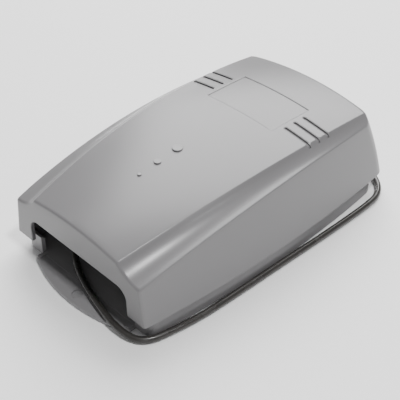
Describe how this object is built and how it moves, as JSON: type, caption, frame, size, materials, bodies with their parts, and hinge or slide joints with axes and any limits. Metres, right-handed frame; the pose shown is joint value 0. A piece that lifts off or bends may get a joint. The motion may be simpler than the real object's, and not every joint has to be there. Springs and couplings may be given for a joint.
{
  "type": "wall battery unit",
  "caption": "Wall-mounted backup battery in a two-part moulded housing with fluted sides, a cable window, a screw tongue and an output lead that ends in a plug.",
  "frame": {"origin": "middle of the housing's length and width on its back, the plane of the wall", "axes": "+Z out of the wall, towards the cover; +Y up the wall, away from the cable window; +X to the right of someone facing the cover, as the unit hangs"},
  "size_m": [0.1529, 0.229, 0.0659],
  "materials": {
    "housing_grey": "fine-grained moulded mid-grey ABS",
    "zinc_steel": "bright zinc plated steel",
    "cell_can": "nickel plated steel cans",
    "nickel_strip": "bright nickel strip",
    "fish_paper": "insulating card",
    "sleeve_film": "shrink film, dark blue",
    "foam": "closed cell foam",
    "black_nylon": "black nylon",
    "dark_epoxy": "moulded epoxy",
    "board_green": "green solder mask",
    "terminal_green": "green polyamide",
    "tinned_brass": "tinned brass",
    "fuse_glass": "clear glass",
    "cap_nickel": "nickel plated caps",
    "relay_case": "blue relay case",
    "capacitor_sleeve": "black printed-free sleeve",
    "sink_aluminium": "extruded aluminium",
    "copper_winding": "enamelled copper over a ferrite ring",
    "resistor_body": "lacquered film resistors",
    "lamp_green": "diffused green",
    "connector_white": "natural nylon",
    "core_insulation": "soft PVC insulation",
    "lead_jacket": "black flexible PVC jacket, satin"
  },
  "bodies": {
    "housing": {"back_plate": "housing_grey", "cover_screws": "zinc_steel", "strap_screws": "zinc_steel", "board_screws": "zinc_steel", "clamp_screws": "zinc_steel", "battery_cells": "cell_can", "cell_links": "nickel_strip", "insulating_cards": "fish_paper", "battery_sleeve": "sleeve_film", "foam_pad": "foam", "battery_strap": "black_nylon", "thermal_cutout": "dark_epoxy", "circuit_board": "board_green", "terminal_block": "terminal_green", "fuse_clips": "tinned_brass", "relay": "relay_case", "capacitors": "capacitor_sleeve", "heat_sink": "sink_aluminium", "regulator": "dark_epoxy", "inductor": "copper_winding", "control_chip": "dark_epoxy", "resistors": "resistor_body", "power_diodes": "dark_epoxy", "indicator_lamps": "lamp_green", "battery_header": "connector_white", "battery_plug": "connector_white", "battery_leads": "core_insulation", "lead_cores": "core_insulation", "lead_clamp": "black_nylon", "output_lead": "lead_jacket", "plug_relief": "lead_jacket", "plug_body": "black_nylon", "plug_contacts": "tinned_brass"},
    "cover": {"cover": "housing_grey"},
    "fuse": {"fuse_glass": "fuse_glass", "fuse_caps": "cap_nickel"},
    "terminal_clamp_1": {"terminal_screw_1": "zinc_steel"},
    "terminal_clamp_2": {"terminal_screw_2": "zinc_steel"},
    "terminal_clamp_3": {"terminal_screw_3": "zinc_steel"}
  },
  "joints": [
    {"name": "cover_lift", "type": "slide", "parent": "housing", "child": "cover", "axis": [0, 0, 1], "range_m": [0, 0.09]},
    {"name": "fuse_lift", "type": "slide", "parent": "housing", "child": "fuse", "axis": [0, 0, 1], "range_m": [0, 0.012]},
    {"name": "terminal_screw_1_turn", "type": "hinge", "parent": "housing", "child": "terminal_clamp_1", "pos_m": [-0.0086, -0.04765, 0.017], "axis": [0, 0, 1], "continuous": true},
    {"name": "terminal_screw_2_turn", "type": "hinge", "parent": "housing", "child": "terminal_clamp_2", "pos_m": [-0.0086, -0.04265, 0.017], "axis": [0, 0, 1], "continuous": true},
    {"name": "terminal_screw_3_turn", "type": "hinge", "parent": "housing", "child": "terminal_clamp_3", "pos_m": [-0.0086, -0.03765, 0.017], "axis": [0, 0, 1], "continuous": true}
  ]
}
